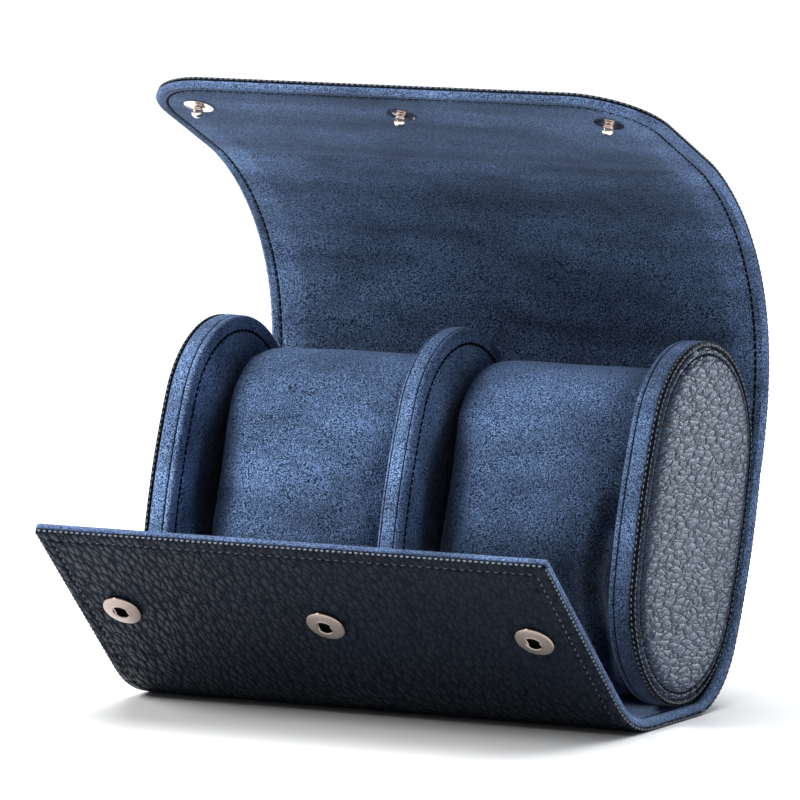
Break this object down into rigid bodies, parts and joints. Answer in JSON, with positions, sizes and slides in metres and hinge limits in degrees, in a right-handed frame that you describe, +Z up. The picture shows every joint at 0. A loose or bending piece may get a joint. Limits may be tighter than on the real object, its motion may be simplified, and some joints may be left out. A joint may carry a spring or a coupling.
{
  "type": "watch travel case",
  "caption": "Padded roll case for watches: a leather wrap lined with suede folds from both sides over oval end panels, a divider and removable pillows, and closes with snap studs.",
  "frame": {"origin": "on the standing plane, midway along the case, under the middle of the oval end panels", "axes": "+Z up; +X along the case to the viewer's right when facing the front flap; -Y towards the front flap"},
  "size_m": [0.16, 0.1401, 0.1775],
  "materials": {
    "leather": "satin",
    "piping": "satin",
    "suede": "matte",
    "board": "matte",
    "foam": "matte",
    "nickel": "polished",
    "spring_steel": "satin"
  },
  "bodies": {
    "base": {"base_leather": "leather", "base_board": "board", "base_lining": "suede", "end_left_core": "foam", "end_left_leather": "leather", "end_left_lining": "suede", "end_left_rim": "suede", "end_left_piping": "piping", "end_right_core": "foam", "end_right_leather": "leather", "end_right_lining": "suede", "end_right_rim": "suede", "end_right_piping": "piping", "divider_core": "foam", "divider_lining": "suede", "divider_rim": "suede"},
    "front_root": {"front_root_leather": "leather", "front_root_lining": "suede"},
    "front_strip": {"front_strip_leather": "leather", "front_strip_lining": "suede"},
    "front_plate": {"front_plate_leather": "leather", "front_plate_board": "board", "front_plate_lining": "suede", "snap_sockets": "nickel", "socket_springs": "spring_steel", "socket_washers": "spring_steel"},
    "top_root": {"top_root_leather": "leather", "top_root_lining": "suede"},
    "top_strip_a": {"top_strip_a_leather": "leather", "top_strip_a_lining": "suede"},
    "top_strip_b": {"top_strip_b_leather": "leather", "top_strip_b_lining": "suede"},
    "top_strip_c": {"top_strip_c_leather": "leather", "top_strip_c_lining": "suede"},
    "top_strip_d": {"top_strip_d_leather": "leather", "top_strip_d_lining": "suede"},
    "top_plate": {"top_plate_leather": "leather", "top_plate_board": "board", "top_plate_lining": "suede", "snap_studs": "nickel", "stud_caps": "nickel"},
    "pillow_left": {"pillow_left_core": "foam", "pillow_left_cover": "suede", "pillow_left_ends": "suede"},
    "pillow_right": {"pillow_right_core": "foam", "pillow_right_cover": "suede", "pillow_right_ends": "suede"}
  },
  "joints": [
    {"name": "front_flap_fold", "type": "hinge", "parent": "base", "child": "front_root", "pos_m": [0, -0.013, 0.0036], "axis": [-1, 0, 0], "range_deg": [0, 24.8]},
    {"name": "front_flap_bend", "type": "hinge", "parent": "front_root", "child": "front_strip", "pos_m": [0, -0.04791, 0.01143], "axis": [-1, 0, 0], "range_deg": [0, 30.3]},
    {"name": "front_flap_edge", "type": "hinge", "parent": "front_strip", "child": "front_plate", "pos_m": [0, -0.06205, 0.02558], "axis": [-1, 0, 0], "range_deg": [0, 6.2]},
    {"name": "top_flap_fold", "type": "hinge", "parent": "base", "child": "top_root", "pos_m": [0, 0.03778, 0.0672], "axis": [1, 0, 0], "range_deg": [0, 9.67]},
    {"name": "top_flap_curl_a", "type": "hinge", "parent": "top_root", "child": "top_strip_a", "pos_m": [0, 0.04106, 0.08132], "axis": [1, 0, 0], "range_deg": [0, 26.56]},
    {"name": "top_flap_curl_b", "type": "hinge", "parent": "top_strip_a", "child": "top_strip_b", "pos_m": [0, 0.04177, 0.10223], "axis": [1, 0, 0], "range_deg": [0, 14.73]},
    {"name": "top_flap_curl_c", "type": "hinge", "parent": "top_strip_b", "child": "top_strip_c", "pos_m": [0, 0.03579, 0.12225], "axis": [1, 0, 0], "range_deg": [0, 10.25]},
    {"name": "top_flap_curl_d", "type": "hinge", "parent": "top_strip_c", "child": "top_strip_d", "pos_m": [0, 0.02352, 0.13919], "axis": [1, 0, 0], "range_deg": [0, 13.6]},
    {"name": "top_flap_tip", "type": "hinge", "parent": "top_strip_d", "child": "top_plate", "pos_m": [0, 0.00693, 0.15196], "axis": [1, 0, 0], "range_deg": [0, 24.19]},
    {"name": "pillow_left_slide", "type": "slide", "parent": "base", "child": "pillow_left", "axis": [0, 0.7071, -0.7071], "range_m": [-0.07, 0]},
    {"name": "pillow_right_slide", "type": "slide", "parent": "base", "child": "pillow_right", "axis": [0, 0.7071, -0.7071], "range_m": [-0.07, 0]}
  ],
  "couplings": [
    {"joint": "front_flap_bend", "follows": "front_flap_fold", "ratio": 1.2218},
    {"joint": "front_flap_edge", "follows": "front_flap_fold", "ratio": 0.25},
    {"joint": "top_flap_curl_a", "follows": "top_flap_fold", "ratio": 2.7466},
    {"joint": "top_flap_curl_b", "follows": "top_flap_fold", "ratio": 1.5233},
    {"joint": "top_flap_curl_c", "follows": "top_flap_fold", "ratio": 1.06},
    {"joint": "top_flap_curl_d", "follows": "top_flap_fold", "ratio": 1.4064}
  ]
}
